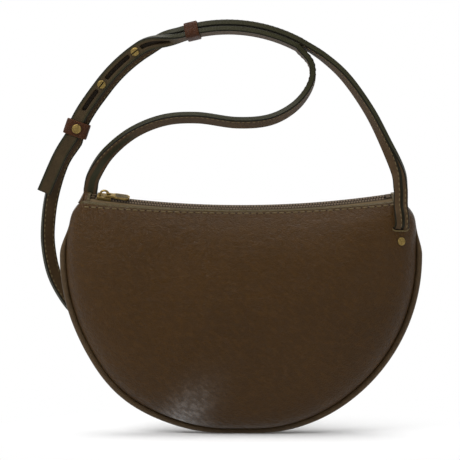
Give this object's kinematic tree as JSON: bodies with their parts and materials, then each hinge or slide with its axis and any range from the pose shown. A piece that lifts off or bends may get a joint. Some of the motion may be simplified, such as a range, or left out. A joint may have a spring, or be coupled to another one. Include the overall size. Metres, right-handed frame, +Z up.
{
  "type": "half moon bag",
  "caption": "Small half moon shoulder bag of bulging leather panels with a piped curved seam, a zip along the straight mouth and a long adjustable strap looped over the top.",
  "frame": {"origin": "under the middle of the bag, on the surface it stands on", "axes": "+Z up, +X to the right as seen from the front, -Y towards the viewer at the front"},
  "size_m": [0.2896, 0.063, 0.3107],
  "materials": {
    "bag_leather": "satin, fine grain",
    "strap_leather": "satin, painted edges",
    "keeper_leather": "satin",
    "cord": "twisted",
    "zip_tape": "woven",
    "zip_teeth": "satin",
    "brass": "antique"
  },
  "bodies": {
    "bag": {"front_panel": "bag_leather", "back_panel": "bag_leather", "piping_cover": "bag_leather", "piping_core": "cord", "front_zip_tape": "zip_tape", "rear_zip_tape": "zip_tape", "front_zip_teeth": "zip_teeth", "rear_zip_teeth": "zip_teeth", "zip_top_stops": "brass", "zip_bottom_stop": "brass", "front_strap_root": "strap_leather", "rear_strap_root": "strap_leather", "front_anchor_rivet": "brass", "front_rivet_cap": "brass", "rear_anchor_rivet": "brass", "rear_rivet_cap": "brass"},
    "slider": {"zip_slider": "brass"},
    "pull": {"zip_pull": "brass"},
    "strap": {"front_strap": "strap_leather", "rear_strap": "strap_leather", "upper_adjuster_screw": "brass", "lower_adjuster_screw": "brass", "upper_screw_post": "brass", "lower_screw_post": "brass", "riveted_keeper": "keeper_leather", "keeper_rivet": "brass", "keeper_rivet_cap": "brass"},
    "keeper": {"sliding_keeper": "keeper_leather"},
    "tail": {"hanging_strap_tail": "strap_leather"}
  },
  "joints": [
    {"name": "zip_slide", "type": "hinge", "parent": "bag", "child": "slider", "pos_m": [0, 0, 0.9192], "axis": [0, -1, 0], "range_deg": [0, 14.5]},
    {"name": "pull_swing", "type": "hinge", "parent": "slider", "child": "pull", "pos_m": [-0.1023, -0.00152, 0.1795], "axis": [-0.0579, -0.9063, -0.4186], "range_deg": [0, 150]},
    {"name": "strap_swing", "type": "hinge", "parent": "bag", "child": "strap", "pos_m": [0, 0, 0.18271], "axis": [-0.9939, 0.1107, 0], "range_deg": [0, 80]},
    {"name": "keeper_slide", "type": "hinge", "parent": "strap", "child": "keeper", "pos_m": [-0.0106, 0.00118, 0.18971], "axis": [0.1107, 0.9939, 0], "range_deg": [-2, 8]},
    {"name": "tail_hang", "type": "hinge", "parent": "strap", "child": "tail", "pos_m": [-0.12491, 0.01652, 0.21931], "axis": [-0.9687, -0.0322, 0.2463], "range_deg": [-80, 0]}
  ],
  "couplings": [
    {"joint": "tail_hang", "follows": "strap_swing", "ratio": -1}
  ]
}
